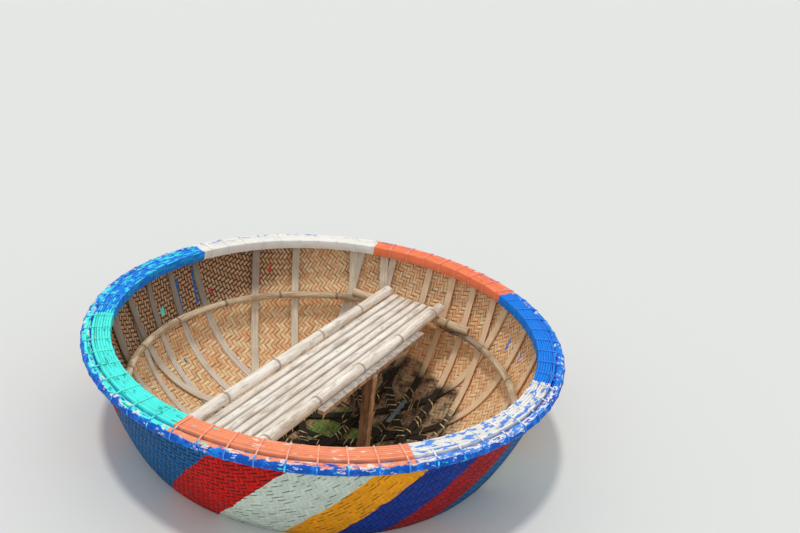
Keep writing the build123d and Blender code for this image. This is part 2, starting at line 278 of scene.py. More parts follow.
class Shader:
    """A node material with one Principled surface, and short calls for the nodes that feed it."""

    def __init__(self, name):
        self.material = bpy.data.materials.new(name)
        self.material.use_nodes = True
        self.tree = self.material.node_tree
        self.surface = self.tree.nodes["Principled BSDF"]
        self.place = self.add("ShaderNodeTexCoord").outputs["Object"]
        self.x, self.y, self.z = self.add("ShaderNodeSeparateXYZ", Vector=self.place).outputs

    def add(self, kind, settings=None, **inputs):
        """A new node; an underscore in an input's name stands for a space."""
        node = self.tree.nodes.new(kind)
        for name, value in (settings or {}).items():
            setattr(node, name, value)
        for name, value in inputs.items():
            self.feed(node.inputs[name.replace("_", " ")], value)
        return node

    def feed(self, socket, value):
        if isinstance(value, bpy.types.NodeSocket):
            self.tree.links.new(value, socket)
        else:
            socket.default_value = value

    def calc(self, operation, *values):
        """A number from one, two or three."""
        node = self.add("ShaderNodeMath", {"operation": operation})
        for socket, value in zip(node.inputs, values):
            self.feed(socket, value)
        return node.outputs[0]

    def plus(self, first, *others):
        for other in others:
            first = self.calc("ADD", first, other)
        return first

    def times(self, first, *others):
        for other in others:
            first = self.calc("MULTIPLY", first, other)
        return first

    def less(self, first, second):
        return self.calc("SUBTRACT", first, second)

    def measure(self, operation, first, second):
        """A number from two vectors."""
        node = self.add("ShaderNodeVectorMath", {"operation": operation})
        self.feed(node.inputs[0], first)
        self.feed(node.inputs[1], second)
        return node.outputs["Value"]

    def ramp(self, value, low, high, start=0.0, end=1.0):
        """Smooth step from start at low to end at high."""
        node = self.add("ShaderNodeMapRange", {"interpolation_type": "SMOOTHSTEP"}, Value=value,
                        From_Min=low, From_Max=high, To_Min=start, To_Max=end)
        return node.outputs[0]

    def mix(self, share, first, second):
        """Colour between two: the first where the share is 0, the second where it is 1."""
        node = self.add("ShaderNodeMix", {"data_type": "RGBA"})
        for socket, value in ((0, share), (6, first), (7, second)):
            self.feed(node.inputs[socket], value)
        return node.outputs[2]

    def noise(self, scale, detail=3, roughness=0.55, vector=None):
        """Noise from 0 to 1, with about so many bumps to the metre as its scale."""
        node = self.add("ShaderNodeTexNoise", Scale=scale, Detail=detail, Roughness=roughness)
        self.feed(node.inputs["Vector"], self.place if vector is None else vector)
        return node.outputs[0]

    def stretched(self, parts, scales, detail, roughness=0.55):
        """Noise over three values of the place, each with a scale of its own."""
        x, y, z = (self.times(part, scale) for part, scale in zip(parts, scales))
        vector = self.add("ShaderNodeCombineXYZ", X=x, Y=y, Z=z).outputs[0]
        return self.noise(1.0, detail, roughness, vector)

    def swing(self, noise, spread):
        """A noise moved so that it swings about zero."""
        return self.times(self.less(noise, 0.5), spread)

    def attribute(self, name):
        """The three parts of a vector that the mesh carries at each place."""
        node = self.add("ShaderNodeAttribute", {"attribute_name": name})
        return self.add("ShaderNodeSeparateXYZ", Vector=node.outputs["Vector"]).outputs

    def angle(self):
        """Plan angle of the place, in degrees."""
        return self.calc("DEGREES", self.calc("ARCTAN2", self.y, self.x))

    def radius(self):
        """Distance of the place from the boat's axis."""
        return self.calc("SQRT", self.plus(*(self.calc("POWER", part, 2) for part in (self.x, self.y))))

    def polar(self):
        """Plan angle in radians, distance from the boat's axis, and height."""
        return self.calc("RADIANS", self.angle()), self.radius(), self.z

    def course(self, plan_angle):
        """How far the place lies along a plan angle, and to the left of it."""
        c, d = cos(radians(plan_angle)), sin(radians(plan_angle))
        return (self.plus(self.times(self.x, c), self.times(self.y, d)),
                self.less(self.times(self.y, c), self.times(self.x, d)))

    def facing(self, direction, low=0.35, high=0.75):
        """How much the surface faces a direction, from 0 to 1 between two cosines."""
        normal = self.add("ShaderNodeNewGeometry").outputs["Normal"]
        return self.ramp(self.measure("DOT_PRODUCT", normal, direction), low, high)

    def patches(self, angle, starts, colours):
        """Colour of the patch that a plan angle lies in."""
        node = self.add("ShaderNodeValToRGB")
        node.color_ramp.interpolation = "CONSTANT"
        stops = node.color_ramp.elements
        stops.remove(stops[-1])
        for n, (start, colour) in enumerate(zip(starts, colours)):
            turn = (start + 180) / 360
            stop = stops.new(turn) if n else stops[0]
            stop.position = turn
            stop.color = colour
        self.feed(node.inputs[0], self.calc("DIVIDE", self.plus(angle, 180), 360))
        return node.outputs[0]

    def dirtied(self, share, colour, strength=0.5):
        """A colour that goes part of the way to tar as the share goes to 1."""
        return self.mix(share, colour, self.mix(strength, colour, TAR))

    def finish(self, colour, roughness, heights, specular=0.5):
        """Feeds the surface; heights are (height socket, distance in metres) pairs for bump."""
        feeds = {"Base Color": colour, "Roughness": roughness, "Specular IOR Level": specular}
        for height, distance in heights:
            bump = self.add("ShaderNodeBump", Strength=1.0, Distance=distance, Height=height)
            if "Normal" in feeds:
                self.feed(bump.inputs["Normal"], feeds["Normal"])
            feeds["Normal"] = bump.outputs[0]
        for name, value in feeds.items():
            self.feed(self.surface.inputs[name], value)
        return self.material


# Geometry of the hull

def hull_arcs():
    """Radius, centre and slopes of each arc: bottom and wall follow from the depth and the mouth."""
    s1, s2, s3 = (sin(radians(a)) for a in (BOTTOM_ANGLE, BILGE_ANGLE, WALL_ANGLE))
    c1, c2, c3 = (cos(radians(a)) for a in (BOTTOM_ANGLE, BILGE_ANGLE, WALL_ANGLE))
    reach = MOUTH_RADIUS - BILGE_RADIUS * (s2 - s1)
    rise = HULL_DEPTH - BILGE_RADIUS * (c1 - c2)
    spread = s1 * (c2 - c3) - (s3 - s2) * (1 - c1)
    bottom = (reach * (c2 - c3) - rise * (s3 - s2)) / spread
    wall = (rise * s1 - reach * (1 - c1)) / spread
    bottom_z = RIM_UNDERSIDE - HULL_DEPTH + bottom
    bilge_x = (bottom - BILGE_RADIUS) * s1
    bilge_z = bottom_z - (bottom - BILGE_RADIUS) * c1
    wall_x = bilge_x + (BILGE_RADIUS - wall) * s2
    wall_z = bilge_z - (BILGE_RADIUS - wall) * c2
    return [
        (bottom, (0.0, bottom_z), 0.0, BOTTOM_ANGLE),
        (BILGE_RADIUS, (bilge_x, bilge_z), BOTTOM_ANGLE, BILGE_ANGLE),
        (wall, (wall_x, wall_z), BILGE_ANGLE, WALL_ANGLE),
    ]


HULL_ARCS = hull_arcs()
WALL_LENGTH = sum(radius * radians(last - first) for radius, _, first, last in HULL_ARCS)
EDGE_LENGTH = RIM_HEIGHT - PAINTED_EDGE_BELOW_TOP


def hull_profile(reach, growth):
    """Radius and height at a reach along the hull's skin from the bottom, moved outwards by growth."""
    out_r, out_z = np.zeros_like(reach), np.zeros_like(reach)
    start = 0.0
    for radius, (x, z), first, last in HULL_ARCS:
        length = radius * radians(last - first)
        slope = np.radians(first) + np.clip(reach - start, 0, length) / radius
        inside = reach >= start
        out_r = np.where(inside, x + (radius + growth) * np.sin(slope), out_r)
        out_z = np.where(inside, z - (radius + growth) * np.cos(slope), out_z)
        start += length
    above = reach > start
    out_r = np.where(above, MOUTH_RADIUS + growth, out_r)
    out_z = np.where(above, RIM_UNDERSIDE + reach - start, out_z)
    return out_r, out_z


def hull_places(reach, angle, growth):
    """Places on the hull, with the plan angle in radians."""
    r, z = hull_profile(reach, growth)
    return np.stack([r * np.cos(angle), r * np.sin(angle), z], axis=-1)


def waterline_radius(growth):
    """Radius of the hull's skin at the waterline."""
    r, z = hull_profile(np.linspace(0, WALL_LENGTH, 4000), growth)
    return float(np.interp(0.0, z, r))


# Mesh making

def add_object(name, data):
    added = bpy.data.objects.new(name, data)
    bpy.context.scene.collection.objects.link(added)
    return added


def mesh_object(name, places, quads, material, **values):
    """An object from arrays of places and of quads, with named vector values at each place."""
    mesh = bpy.data.meshes.new(name)
    mesh.vertices.add(len(places))
    mesh.vertices.foreach_set("co", np.asarray(places, np.float32).ravel())
    mesh.loops.add(4 * len(quads))
    mesh.loops.foreach_set("vertex_index", np.asarray(quads, np.int32).ravel())
    mesh.polygons.add(len(quads))
    mesh.polygons.foreach_set("loop_start", np.arange(0, 4 * len(quads), 4, dtype=np.int32))
    mesh.polygons.foreach_set("use_smooth", np.full(len(quads), True))
    for value, vectors in values.items():
        attribute = mesh.attributes.new(value, "FLOAT_VECTOR", "POINT")
        attribute.data.foreach_set("vector", np.asarray(vectors, np.float32).ravel())
    mesh.update(calc_edges=True)
    mesh.validate()
    mesh.materials.append(material)
    return add_object(name, mesh)


def mesh_piece(name, places, quads, material, slot, **values):
    """A mesh object that is a piece of the boat."""
    piece = mesh_object(name, places, quads, material, **values)
    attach(piece, BODY)
    return piece


def grid_quads(rows, columns, close_rows=False, close_columns=False):
    """Quads of a grid of places, row by row."""
    r = np.arange(rows if close_rows else rows - 1)
    c = np.arange(columns if close_columns else columns - 1)
    r, c = (a.ravel() for a in np.meshgrid(r, c, indexing="ij"))
    r2, c2 = (r + 1) % rows, (c + 1) % columns
    return np.stack([r * columns + c, r * columns + c2, r2 * columns + c2, r2 * columns + c], axis=1)


def closed_tube(rows, sides):
    """Quads of a tube's skin, and of the two ends that close it."""
    skin = grid_quads(rows, sides, close_columns=True)
    end = np.array([(0, k, k + 1, k + 2) for k in range(1, sides - 1, 2)])
    return np.concatenate([skin, end[:, ::-1], end + (rows - 1) * sides])


def give(node, material, bevel=0.0):
    """A CAD node takes a material, and its sharp edges may be eased."""
    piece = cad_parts[node]
    piece.data.materials.clear()
    piece.data.materials.append(material)
    if bevel:
        eased = piece.modifiers.new("eased", "BEVEL")
        eased.width = bevel
        eased.segments = 2
        eased.angle_limit = radians(50)


# Woven mat

def mat_core(material):
    """The skin between the two faces of the weave, closed at the mat's upper edge.

    The value that its places carry is 1 on the outside and 0 on the inside.
    """
    reach = np.linspace(0, WALL_LENGTH + EDGE_LENGTH, CORE_ROWS)
    reach[0] = CORE_START
    angles = np.linspace(0, 2 * pi, CORE_COLUMNS, endpoint=False)
    rows = [(s, INNER_RELIEF, 0.0) for s in reach]
    rows += [(s, MAT_THICKNESS - OUTER_RELIEF, 1.0) for s in reach[::-1]]
    places = [hull_places(np.full(CORE_COLUMNS, s), angles, growth) for s, growth, _ in rows]
    values = np.repeat([[0.0, 0.0, side] for _, _, side in rows], CORE_COLUMNS, axis=0)
    quads = grid_quads(len(rows), CORE_COLUMNS, close_rows=True, close_columns=True)
    return mesh_piece("hull_core", np.concatenate(places), quads[:, ::-1], material, "woven_mat",
                      strip=values)


def twill_cells(warp, outside):
    """Strips, and the steps along them, where a strip starts passing over two others."""
    span = int((WALL_LENGTH + STRIP_WIDTH) / STRIP_WIDTH) + 2
    cells = np.arange(-span, span)
    strip, step = (a.ravel() for a in np.meshgrid(cells, cells, indexing="ij"))
    repeat = 2 * FLOAT_CELLS
    if warp:
        chosen = (strip + step) % repeat == (FLOAT_CELLS if outside else 0)
    else:
        chosen = (step - strip) % repeat == (FLOAT_CELLS if outside else repeat) - 1
    return strip[chosen], step[chosen]


def weave(name, warp, outside, material):
    """All the strips of one direction that lie on top on one face of the mat.

    Each array has an axis for the strips, one for the stations along a strip and one across it.
    """
    strip, step = twill_cells(warp, outside)
    across = (strip + 0.5) * STRIP_WIDTH
    along = (step + 0.5 * FLOAT_CELLS) * STRIP_WIDTH
    keep = np.hypot(across, along) < WALL_LENGTH + 0.3 * STRIP_WIDTH
    strip, across, along = (a[keep][:, None, None] for a in (strip, across, along))
    station = np.reshape(FLOAT_STATIONS, (1, -1, 1))
    side, top = np.reshape([FLOAT_COLUMNS, FLOAT_TOPS], (2, 1, 1, -1))
    rng = np.random.default_rng(SEED + 2 * warp + outside)
    strip_tones = np.random.default_rng(SEED + 11 * warp).random(2 * STRIP_LIMIT)
    tint = 0.6 * rng.random(strip.shape) + 0.4 * strip_tones[strip + STRIP_LIMIT]
    half_width = 0.5 * STRIP_WIDTH * (STRIP_COVER - STRIP_UNEVEN * rng.random(strip.shape))
    overlap = FLOAT_OVERLAP + STRIP_UNEVEN * rng.random(strip.shape)
    half_length = 0.5 * FLOAT_CELLS * STRIP_WIDTH * overlap
    skew = STRIP_SKEW * STRIP_WIDTH * rng.normal(size=strip.shape)
    relief = OUTER_RELIEF if outside else INNER_RELIEF
    crown = relief * (0.85 + 0.15 * rng.random(strip.shape))
    chance = rng.random(strip.shape)
    along = along + half_length * station
    across = across + skew + half_width * side
    lift = crown * (1 - np.abs(station) ** 6) * top
    growth = MAT_THICKNESS - relief + lift if outside else relief - lift
    turn = radians(WARP_ANGLE if warp else WARP_ANGLE + 90)
    u = along * cos(turn) - across * sin(turn)
    v = along * sin(turn) + across * cos(turn)
    reach = np.minimum(np.hypot(u, v), WALL_LENGTH + 0.004)
    places = hull_places(reach.ravel(), np.arctan2(v, u).ravel(), growth.ravel())
    cell = grid_quads(len(FLOAT_STATIONS), len(FLOAT_COLUMNS))
    starts = np.arange(len(strip)) * len(FLOAT_STATIONS) * len(FLOAT_COLUMNS)
    quads = (cell[None] + starts[:, None, None]).reshape(-1, 4)
    if not outside:
        quads = quads[:, ::-1]
    fibre, local = (np.stack(np.broadcast_arrays(*parts), axis=-1)
                    for parts in ((along, across, tint), (station, side, chance)))
    return mesh_piece(name, places, quads, material, "woven_mat", strip=fibre, local=local)


def build_mat():
    core = mat_core(core_material())
    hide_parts("hull_mat")
    inner = inner_weave_material()
    weave("weave_inner_warp", True, False, inner)
    weave("weave_inner_weft", False, False, inner)
    weave("weave_outer_warp", True, True, outer_weave_material("painted_warp", False))
    weave("weave_outer_weft", False, True, outer_weave_material("painted_weft", True))


# Materials of the hull

def hull_paint(s):
    """Paint of the outside patches, with uneven edges, and how many dark slits (tar and painted shade) show
    in each.
    """
    slant = s.times(s.less(RIM_UNDERSIDE, s.z), PATCH_SLANT)
    angle = s.calc("WRAP", s.plus(s.angle(), slant, s.swing(s.noise(11), 2.6)), 180, -180)
    starts, paints, tar_and_shade_slits = zip(*HULL_PAINT)
    worn = s.ramp(s.noise(4, 5), 0.40, 0.75, 0.0, 0.30)
    colour = s.dirtied(worn, s.patches(angle, starts, paints), 0.55)
    return colour, s.patches(angle, starts, map(grey, tar_and_shade_slits))


def tarred(s):
    """How tarred the inside is: most at the bottom, and higher up at the far right."""
    aside = s.times(s.ramp(s.x, -0.05, 0.45, 0.0, TAR_RISE), s.ramp(s.y, 0.0, 0.40))
    ragged = s.swing(s.noise(6, 5), 0.13)
    return s.ramp(s.plus(s.less(s.z, aside), ragged), *TAR_HEIGHTS)


def core_material():
    """Inside brown, partly painted shade between the strips, tar at the bottom; outside, paint filling the
    weave.
    """
    s = Shader("mat_core")
    outside = s.attribute("strip")[2]
    inside = s.mix(tarred(s), s.mix(s.noise(160), CORE_DARK, CORE_LIGHT), TAR)
    paint, _ = hull_paint(s)
    filled = s.mix(s.ramp(s.noise(70, 1), 0.40, 0.50, 0.15, 0.85), TAR, paint)
    edge, _ = rim_paint(s)
    tone = s.mix(s.calc("GREATER_THAN", s.z, CORE_EDGE), s.mix(outside, inside, filled), edge)
    return s.finish(tone, 0.7, [(s.noise(300), 0.0006)])


def rim_shade_and_damp(s):
    """How much the rim's painted shadow, with some dampness, darkens the wall: under the rim, most at one
    side.
    """
    turn, _, _ = s.polar()
    towards = s.calc("COSINE", s.less(turn, radians(SHADE_AND_DAMP_SIDE)))
    near = s.ramp(towards, 0.35, 0.80, 0.12, 0.68)
    ragged = s.swing(s.noise(9, 4), 0.10)
    band = s.plus(s.z, ragged, s.ramp(towards, 0.50, 1.0, 0.0, 0.10))
    return s.times(s.ramp(band, *SHADE_AND_DAMP_HEIGHTS), near)


def grown_over(s):
    """How green with algae the inside is, round one place at the bottom."""
    ragged = s.times(s.noise(16, 5), 0.16)
    away = s.plus(s.measure("DISTANCE", s.place, ALGAE_PLACE), ragged)
    broken = s.ramp(s.noise(45, 4), 0.40, 0.56, 0.15, 0.9)
    return s.times(s.ramp(away, *ALGAE_REACH), broken)


def drip_paint(s, tone):
    """Old paint run down the inside of the wall."""
    turn = s.angle()
    ragged = s.swing(s.noise(60), 0.014)
    broken = s.ramp(s.noise(110, 4), 0.34, 0.42, 0.0, 0.96)
    for angle, low, high, half_width, colour in DRIPS:
        off = s.times(s.less(turn, angle), radians(1.0) * MOUTH_RADIUS)
        aside = s.calc("ABSOLUTE", s.plus(off, ragged))
        beyond = s.plus(s.calc("ABSOLUTE", s.less(s.z, (low + high) / 2)), ragged)
        inside = s.times(s.calc("LESS_THAN", aside, half_width),
                         s.calc("LESS_THAN", beyond, (high - low) / 2))
        tone = s.mix(s.times(inside, broken), tone, colour)
    return tone


def inner_weave_material():
    """Split bamboo, each strip with its own tone and fibres; painted shade and some dirt in the seams; old
    paint and tar.
    """
    s = Shader("woven_bamboo_inside")
    along, across, tint = s.attribute("strip")
    station, side, _ = s.attribute("local")
    fibres = s.stretched((along, across, tint), (26, 900, 1), 4)
    tone = s.mix(s.ramp(tint, 0.20, 0.55), WEAVE_DARK, WEAVE_MIDDLE)
    tone = s.mix(s.ramp(tint, 0.45, 0.85), tone, WEAVE_LIGHT)
    tone = s.mix(s.ramp(fibres, 0.40, 0.75, 0.0, 0.40), tone, WEAVE_FIBRE)
    tone = s.mix(s.ramp(s.noise(7, 5), 0.45, 0.70, 0.0, 0.40), tone, WEAVE_DARK)
    # The rim's painted shadow, with some dampness: it browns the strips and widens and darkens their seams
    shade_and_damp = rim_shade_and_damp(s)
    wider = s.times(shade_and_damp, 0.22)
    # Painted shade in the seams at each strip's sides and ends; noise varies its strength, as dirt does
    edge = s.calc("MAXIMUM", s.ramp(s.plus(s.calc("ABSOLUTE", side), wider), 0.78, 0.97),
                  s.ramp(s.plus(s.calc("ABSOLUTE", station), wider), 0.77, 0.90))
    seam_shade_and_dirt = s.ramp(s.noise(26, 4), 0.38, 0.62, 0.36, 0.85)
    seam_shade_and_dirt = s.calc("MINIMUM", s.plus(seam_shade_and_dirt, shade_and_damp), 1.0)
    seam = s.mix(s.ramp(shade_and_damp, 0.1, 0.5), WEAVE_SHADE, SHADE_AND_DAMP_SEAM)
    tone = s.mix(s.times(shade_and_damp, 0.80), tone, SHADE_AND_DAMP_BROWN)
    tone = s.mix(s.times(edge, seam_shade_and_dirt), tone, seam)
    tone = drip_paint(s, tone)
    patchy = s.ramp(s.noise(24, 5), 0.35, 0.62, 0.92, 0.54)
    tone = s.mix(s.times(tarred(s), patchy), tone, TAR)
    tone = s.mix(grown_over(s), tone, ALGAE)
    rough = s.ramp(fibres, 0.2, 0.8, 0.45, 0.72)
    return s.finish(tone, rough, [(fibres, 0.0005), (s.noise(55), 0.0010)])


def outer_weave_material(name, lengthwise):
    """Painted patches over the weave, with dark slits at the strips' edges (tar and painted shade), and
    chips.

    A slit lies along one side of a strip where it runs lengthwise, and otherwise across its end.
    """
    s = Shader(name)
    along, across, tint = s.attribute("strip")
    station, side, chance = s.attribute("local")
    fibres = s.stretched((along, across, tint), (30, 700, 1), 3)
    paint, tar_and_shade_slits = hull_paint(s)
    paint = s.dirtied(s.ramp(tint, 0.1, 0.9, 0.0, 0.30), paint)
    # Dark slits at the strips' edges: tar where the weave is open, and painted shade
    slit = s.ramp(s.times(side, -1.0), 0.30, 0.46) if lengthwise else s.ramp(station, 0.56, 0.68)
    within = s.ramp(s.calc("ABSOLUTE", station if lengthwise else side), 0.84, 0.66)
    shown = s.calc("LESS_THAN", chance, s.plus(tar_and_shade_slits, s.less(s.noise(9), 0.45)))
    open_weave = s.ramp(tar_and_shade_slits, 0.60, 0.78)
    # Painted shade along both sides of each strip where the weave is open
    seams = s.times(s.ramp(s.calc("ABSOLUTE", side), 0.55, 0.85), open_weave)
    strong = s.plus(s.times(open_weave, 0.22), 0.72)
    dark = s.times(slit, within, shown, strong)
    paint = s.mix(s.calc("MAXIMUM", dark, s.times(seams, 0.50)), paint, TAR)
    chips = s.ramp(s.noise(62, 6, 0.7), 0.665, 0.70, 0.0, 0.8)
    paint = s.mix(chips, paint, BARE_BAMBOO)
    height = s.plus(s.z, s.times(s.noise(5), 0.03))
    paint = s.dirtied(s.ramp(height, *WET_HEIGHTS, 0.0, 0.45), paint)
    rough = s.ramp(s.noise(20), 0.3, 0.7, 0.42, 0.62)
    return s.finish(paint, rough, [(fibres, 0.0003), (s.noise(90, 4), 0.0007)], DULL_SPECULAR)


# Rim

def rim_paint(s):
    """Paint round the rim, rubbed through to the paint under it, and the streaks along the strips."""
    angle = s.plus(s.angle(), s.swing(s.noise(14), 2))
    starts, paints, unders, shares = zip(*RIM_PAINT)
    share = s.patches(angle, starts, map(grey, shares))
    streaks = s.stretched(s.polar(), (17, 62, 62), 4, 0.58)
    level = s.less(0.74, s.times(share, 0.46))
    rubbed = s.ramp(s.less(streaks, level), 0.0, 0.035, 0.0, 0.92)
    on_top = s.plus(s.times(s.facing(UP), 0.75), 0.25)
    colour = s.mix(s.times(rubbed, on_top), s.patches(angle, starts, paints),
                   s.patches(angle, starts, unders))
    colour = s.dirtied(s.ramp(s.noise(20, 5), 0.35, 0.80, 0.0, 0.30), colour)
    specks = s.ramp(s.noise(95, 5, 0.7), 0.675, 0.70, 0.0, 0.75)
    return s.mix(specks, colour, PRIMER), streaks


def rim_material():
    """The rim's strips: their paint, and the streaks as relief."""
    s = Shader("painted_rim_strips")
    colour, streaks = rim_paint(s)
    rough = s.ramp(streaks, 0.3, 0.7, 0.42, 0.70)
    return s.finish(colour, rough, [(streaks, 0.0012), (s.noise(150), 0.0006)], DULL_SPECULAR)


def outer_pole_material():
    """The outer pole: blue outside, worn through along its top, where the rim's paint runs on to it."""
    s = Shader("painted_outer_pole")
    top, streaks = rim_paint(s)
    height = s.plus(s.z, s.swing(streaks, 0.045))
    line = s.ramp(height, OUTER_POLE_TOP - 0.005, OUTER_POLE_TOP - 0.002)
    blue = s.mix(s.ramp(s.noise(30), 0.32, 0.54), BLUE, DEEP_BLUE)
    chipped = s.ramp(s.stretched(s.polar(), (30, 75, 75), 6, 0.7), 0.60, 0.63, 0.0, 0.9)
    blue = s.mix(chipped, blue, s.mix(s.ramp(s.noise(17), 0.50, 0.56), PRIMER, TURQUOISE))
    from_line = s.calc("ABSOLUTE", s.less(height, OUTER_POLE_TOP - 0.004))
    residue = s.times(s.ramp(from_line, 0.005, 0.002),
                      s.ramp(s.noise(35, 4), 0.53, 0.60, 0.0, 0.9))
    colour = s.mix(residue, s.mix(line, blue, top), PRIMER)
    rough = s.ramp(streaks, 0.3, 0.7, 0.40, 0.68)
    return s.finish(colour, rough, [(streaks, 0.0010), (s.noise(120), 0.0008)], DULL_SPECULAR)


def lashing_material():
    """Flat cord under the rim's paint, pale where that has rubbed off, blue on the outer side."""
    s = Shader("rim_lashing_cord")
    top, _ = rim_paint(s)
    outer = s.ramp(s.radius(), OUTER_POLE_MIDDLE - 0.004, OUTER_POLE_MIDDLE + 0.006)
    colour = s.mix(outer, top, s.mix(s.ramp(s.noise(40), 0.58, 0.66), BLUE, TURQUOISE))
    bare = 0.05
    for first, last in LASHINGS_SHOW:
        within = s.times(s.calc("GREATER_THAN", s.angle(), first), s.calc("LESS_THAN", s.angle(), last))
        bare = s.plus(bare, s.times(within, 0.24))
    rubbed = s.ramp(s.noise(60, 4), 0.42, 0.62, 0.2, 1.0)
    rubbed = s.times(rubbed, bare, s.less(1.0, s.times(outer, 0.7)))
    return s.finish(s.mix(rubbed, colour, PRIMER), 0.7, [(s.noise(900, 2), 0.0005)])


def rounded_outline(width, height, corner):
    """Points round a rectangle with rounded corners, as radius and height offsets from its centre."""
    outline = []
    for n, (sx, sz) in enumerate(((1, 1), (-1, 1), (-1, -1), (1, -1))):
        for part in (0.0, 0.5, 1.0):
            a = pi / 2 * (n + part)
            outline.append((sx * (width / 2 - corner) + corner * cos(a),
                            sz * (height / 2 - corner) + corner * sin(a)))
    return np.array(outline)


def rim_strip(node, material, seed):
    """One strip of the rim, a little uneven in height and thickness, in place of its plain ring."""
    low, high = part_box(node)
    plain = np.array([v.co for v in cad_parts[node].data.vertices])
    inner, outer = float(np.hypot(plain[:, 0], plain[:, 1]).min()), high.x
    rng = np.random.default_rng(SEED + seed)
    angles = np.linspace(0, 2 * pi, RIM_STATIONS, endpoint=False)[:, None]
    dip, thin = np.zeros_like(angles), np.zeros_like(angles)
    for waves in STRIP_WAVES:
        for uneven in (dip, thin):
            uneven += np.sin(waves * angles + rng.uniform(0, 2 * pi)) * rng.uniform(0.4, 1.0) / 4
    aside, up = rounded_outline(outer - inner, high.z - low.z, STRIP_CORNER).T
    r = (inner + outer) / 2 + aside * (0.95 + 0.05 * thin)
    z = (low.z + high.z) / 2 + up - (up > 0) * STRIP_WOBBLE * (1 + dip)
    places = np.stack([r * np.cos(angles), r * np.sin(angles), z], axis=-1).reshape(-1, 3)
    quads = grid_quads(RIM_STATIONS, len(up), close_rows=True, close_columns=True)
    strip = mesh_piece(node + "_painted", places, quads[:, ::-1], material, "rim_bamboo")
    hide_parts(node)


def build_rim():
    material = rim_material()
    strips = sorted(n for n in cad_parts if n.startswith(("rim_inner_strip", "rim_outer_strip")))
    for seed, node in enumerate(strips):
        rim_strip(node, material, seed)
    give("rim_outer_pole", outer_pole_material())
    give("rim_lashings", lashing_material())


# Bamboo and timber

def bamboo_material(name, light, dark, plan_angle=None, nodes=None, length=0.0, greyed=None, split=False):
    """Weathered bamboo, with fibres along a plan angle, or round the boat where none is given.

    The nodes are a distance from one end of its length to the first dark ring, and one from ring to
    ring. It is greyed between two plan angles; split bamboo gets painted shade on its sides.
    """
    s = Shader(name)
    if plan_angle is None:
        turn, across, _ = s.polar()
        along = s.times(turn, HOOP_RUN)
    else:
        along, across = s.course(plan_angle)
    place = (along, across, s.z)
    fibres = s.stretched(place, (9, 420, 420), 4, 0.6)
    coarse = s.stretched(place, (3, 45, 1), 3)
    tone = s.mix(s.ramp(s.plus(fibres, s.times(coarse, 0.6)), 0.55, 0.95), dark, light)
    stains = s.ramp(s.stretched(place, (7, 26, 26), 6, 0.65), 0.48, 0.64, 0.0, 0.6)
    tone = s.mix(stains, tone, s.mix(0.45, dark, BAMBOO_STAIN))
    if nodes:
        first, pitch = nodes
        from_node = s.plus(along, length / 2 - first, 10.5 * pitch)
        off = s.calc("ABSOLUTE", s.less(s.calc("MODULO", from_node, pitch), pitch / 2))
        tone = s.mix(s.ramp(off, 0.010, 0.004, 0.0, 0.75), tone, s.mix(0.6, dark, BAMBOO_NODE))
    if split:
        # Painted shade on the sides of split bamboo, between the slats
        sides = s.less(1.0, s.facing(UP, 0.86, 0.97))
        tone = s.mix(s.times(sides, 0.55), tone, BAMBOO_SIDE_SHADE)
    if greyed:
        old = s.mix(s.ramp(fibres, 0.35, 0.65), SPLICE_DARK, SPLICE_LIGHT)
        tone = s.mix(s.ramp(s.angle(), *greyed, 0.0, 0.8), tone, old)
    rough = s.ramp(fibres, 0.2, 0.8, 0.5, 0.78)
    return s.finish(tone, rough, [(fibres, 0.0008), (s.noise(60), 0.0010)])


def rib_material(name, light, dark, plan_angle):
    """Split bamboo rib: fibres along it, painted light to the right, painted shadow and dampness up the
    wall, tar at the bottom.
    """
    s = Shader(name)
    fibres = s.stretched((*s.course(plan_angle), s.z), (8, 380, 8), 4, 0.6)
    tone = s.mix(s.ramp(fibres, 0.3, 0.7), dark, light)
    tone = s.mix(s.ramp(s.noise(11, 5), 0.45, 0.7, 0.0, 0.6), tone, dark)
    # Painted light: the ribs take the weave's golden tone towards the sunlit right wall
    tone = s.mix(s.ramp(s.x, 0.20, 0.55, 0.0, 0.55), tone, WEAVE_MIDDLE)
    # The rim's painted shadow, with some dampness, greys the ribs up the wall
    tone = s.mix(rim_shade_and_damp(s), tone, SHADE_AND_DAMP_GREY)
    tone = s.mix(s.times(tarred(s), 0.97), tone, TAR)
    rough = s.ramp(fibres, 0.2, 0.8, 0.5, 0.8)
    return s.finish(tone, rough, [(fibres, 0.0008), (s.noise(50), 0.0012)], DULL_SPECULAR)


def wood_material(name, greyed, shaded_face=None):
    """Rough sawn timber, greyed on top, and with painted shade on one face where it is given."""
    s = Shader(name)
    grain = s.stretched((s.x, s.y, s.z), (60, 60, 9), 6, 0.65)
    tone = s.mix(s.ramp(grain, 0.3, 0.7), WOOD_DARK, WOOD_LIGHT)
    tone = s.mix(s.ramp(s.noise(22, 5), 0.5, 0.7, 0.0, 0.6), tone, WOOD_WORN)
    bleached = s.mix(s.ramp(grain, 0.35, 0.65), BLEACHED_DARK, BLEACHED_LIGHT)
    tone = s.mix(s.times(s.facing(UP), greyed), tone, bleached)
    # Painted shade on one face
    if shaded_face:
        tone = s.mix(s.times(s.facing(shaded_face), 0.42), tone, WOOD_SHADE)
    tone = s.mix(s.ramp(s.z, -0.14, -0.21, 0.0, 0.7), tone, TAR)
    return s.finish(tone, 0.8, [(grain, 0.0014), (s.noise(120), 0.0006)])


def rib_nodes():
    """Names of the ribs, each with its layer, from 0 against the mat."""
    return [(node, int(node.split("_")[2]) - 1) for node in sorted(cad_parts)
            if node.startswith("rib_layer")]


